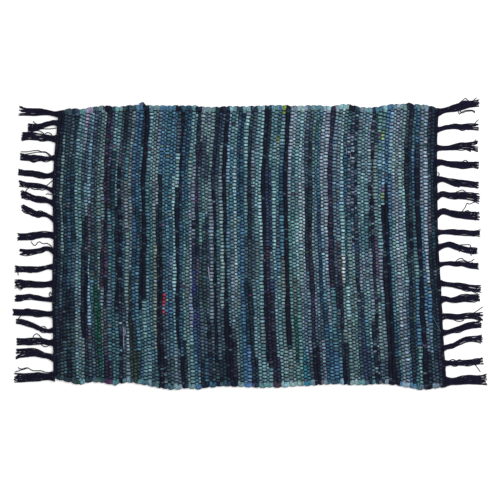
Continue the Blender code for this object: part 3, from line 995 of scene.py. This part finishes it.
def rag_cloth(name, fabric):
    """Cut cotton: a soft knit, creased along the rag, lighter and darker from fold to fold, with painted
    shade in its crease valleys and where it dips between its neighbours.
    """
    made = Finish("rag_" + name, roughness=0.92)
    main = linear(fabric.red, fabric.green, fabric.blue)
    second = linear(fabric.second_red, fabric.second_green, fabric.second_blue)
    patches = made.noise(made.place(130, 60, 130))
    creases = made.noise(made.place(420, 110, 420))
    knit = made.noise(made.place(900, 800, 900), detail=1.0)
    dye = made.noise(made.place(210, 75, 210), detail=1.0)
    hues = made.noise(made.place(45, 45, 45), detail=1.0)
    tone = made.of_ring("tone")
    dyed = made.blend(dye.between(0.38, 0.62), shifted(main, BLUER), shifted(main, GREENER))
    lit = made.blend(tone.between(0.0, 1.0), second, dyed)
    mottled = made.blend(patches.between(0.62 - 0.25 * fabric.second, 0.75) * 0.6, lit, second)
    # Painted shade: the valleys of the crease relief are darkened towards a dimmed copy of the second
    # colour.
    crease_shaded = made.blend(creases.between(0.3, 0.55), brighter(second, 0.62), mottled)
    worn = made.blend(knit.between(0.45, 0.75) * 0.32, crease_shaded, shifted(main, WORN))
    pale_or_pink = made.blend(hues.between(0.45, 0.55), linear(150, 172, 178), linear(104, 96, 106))
    flecked = made.blend(made.of_ring("fleck") * patches.between(0.3, 0.6), worn, pale_or_pink)
    # Painted shade: where a rag dives between its neighbours, its colour is darkened on both faces towards
    # a shaded copy of its second colour.
    out_of_painted_shade = made.height_from_middle().between(PAINTED_SHADE_FULL_HEIGHT, PAINTED_SHADE_GONE_HEIGHT)
    made.colour(made.blend(out_of_painted_shade, shifted(second, PAINTED_SHADE_TINT), flecked))
    made.relief(creases * 0.7 + knit * 0.3, 0.0009)
    return made.material


def dark_cotton(name, along_axis_scale, dark, light):
    """Navy-black cotton thread: plies that turn round it, with painted highlights on their raised crests,
    and worn lighter fibres.
    """
    made = Finish(name, roughness=0.85)
    plies = made.noise(made.place(along_axis_scale, 1300, 1300))
    wear = made.noise(made.place(60, 60, 60))
    # Painted highlight: where the ply relief is raised, the colour goes from the dark one to the light one.
    ply_highlighted = made.blend(plies.between(0.35, 0.7), dark, light)
    made.colour(made.blend(wear.between(0.5, 0.8) * 0.4, ply_highlighted, brighter(light, 1.4)))
    made.relief(plies, 0.0006)
    return made.material


def floor_and_light():
    """A white floor under soft, even light."""
    mesh = bpy.data.meshes.new("floor")
    half, under_the_rug = 4.0, -0.0004
    corners = [(-half, -half, 0), (half, -half, 0), (half, half, 0), (-half, half, 0)]
    mesh.from_pydata(corners, [], [(0, 1, 2, 3)])
    floor = bpy.data.objects.new("floor", mesh)
    floor.location.z = under_the_rug
    bpy.context.collection.objects.link(floor)
    made = Finish("floor_white", roughness=1.0, specular=0.0)
    made.set(made.shader, {"Base Color": (0.97, 0.97, 0.97, 1.0)})
    made.set(made.shader, {"Emission Color": (1.0, 1.0, 1.0, 1.0), "Emission Strength": 0.12})
    mesh.materials.append(made.material)

    lamp = bpy.data.lights.new("softbox", "AREA")
    lamp.shape = "RECTANGLE"
    lamp.size, lamp.size_y = 2.6, 1.8
    lamp.energy = 46
    box = bpy.data.objects.new("softbox", lamp)
    box.location = (1.2, 0.9, 2.2)
    box.rotation_euler = (math.radians(-20), math.radians(27), 0)
    bpy.context.collection.objects.link(box)

    world = bpy.data.worlds.new("studio")
    bpy.context.scene.world = world
    world.use_nodes = True
    sky = world.node_tree.nodes["Background"]
    sky.inputs["Color"].default_value = (1.0, 1.0, 1.0, 1.0)
    sky.inputs["Strength"].default_value = 0.78


def camera():
    """Straight above, far off with a long lens: the picture is that many metres of floor each way."""
    distance, picture = 9.0, 1.0715
    above_x, above_y = 0.0011, -0.0086
    data = bpy.data.cameras.new("camera")
    data.sensor_width = 36.0
    data.lens = data.sensor_width * distance / picture
    data.clip_end = 30.0
    made = bpy.data.objects.new("camera", data)
    made.location = (above_x, above_y, distance)
    bpy.context.collection.objects.link(made)
    bpy.context.scene.camera = made
    bpy.context.scene.view_settings.view_transform = "Standard"


rng = np.random.default_rng(SEED)
camera()
floor_and_light()
cloth = Cloth()
weave = Weave(cloth, rng)
names = list(FABRICS)
order = {name: i for i, name in enumerate(names + list(TWEEDS))}
rag_materials = [rag_cloth(name, FABRICS[name]) for name in names]
# The warp's and the fringe's cotton: their dark colour, then the light colour of the painted ply
# highlights, which the worn fibres are also lightened from.
warp_material = dark_cotton("warp_cotton", 260, linear(9, 11, 19), linear(27, 29, 43))
fringe_material = dark_cotton("fringe_cotton", 420, linear(13, 13, 27), linear(36, 34, 58))

rings, fabric, pick, tone, fleck = lay_weft(weave, rng, order)
fabric = spotted(fabric, rng, order)
third = PICKS // 3
bands = (("weft_left", 0, third), ("weft_middle", third, 2 * third), ("weft_right", 2 * third, PICKS))
wefts = []
for name, first, last in bands:
    chosen = (pick >= first) & (pick < last)
    tubes = Tubes(RAG_SIDES)
    tubes.add(rings[chosen], fabric[chosen], tone[chosen], fleck[chosen])
    wefts.append(tubes.make(name, rag_materials))

warp_threads = lay_warp(weave, rng)
held = 54
groups = (("warp_near", 0, held), ("warp_middle", held, 2 * held), ("warp_far", 2 * held, WARPS))
warps = []
for name, first, last in groups:
    tubes = Tubes(WARP_SIDES)
    for thread in warp_threads[first:last]:
        tubes.add(thread)
    warps.append(tubes.make(name, [warp_material]))

fringes = []
ends = (
    ("fringe_left", LEFT_TASSELS, LEFT_STRAYS, False),
    ("fringe_right", RIGHT_TASSELS, RIGHT_STRAYS, True),
)
for name, tassels, strays, right_end in ends:
    tubes = Tubes(THREAD_SIDES)
    for tassel in tassels:
        for path in lay_tassel(cloth, tassel, right_end, rng):
            tubes.add(thread_rings(path, THREAD_RADIUS))
    for places in strays:
        tubes.add(thread_rings(lay_stray(places, THREAD_REST, STRAY_RISE), THREAD_RADIUS))
    fringes.append(tubes.make(name, [fringe_material]))

tubes = Tubes(THREAD_SIDES)
shades = {"pale": linear(176, 172, 204), "blue": linear(70, 108, 132)}
for loose in LOOSE:
    path = lay_stray(loose.places, loose.height, loose.ends)
    tubes.add(thread_rings(path, loose.radius), np.full(STRAY_RINGS, list(shades).index(loose.shade)))
# Each loose thread's colour shows as the painted highlight on its plies, over a copy of it at six tenths.
loose_threads = tubes.make(
    "loose_threads",
    [dark_cotton("loose_" + name, 900, brighter(shade, 0.6), shade) for name, shade in shades.items()],
)
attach(loose_threads, "root")

for piece in wefts:
    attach(piece, "root")
    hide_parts("rug_field")
for piece in warps + fringes:
    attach(piece, "root")
for fringe, node in zip(fringes, ("heading_left", "heading_right")):
    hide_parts(node)
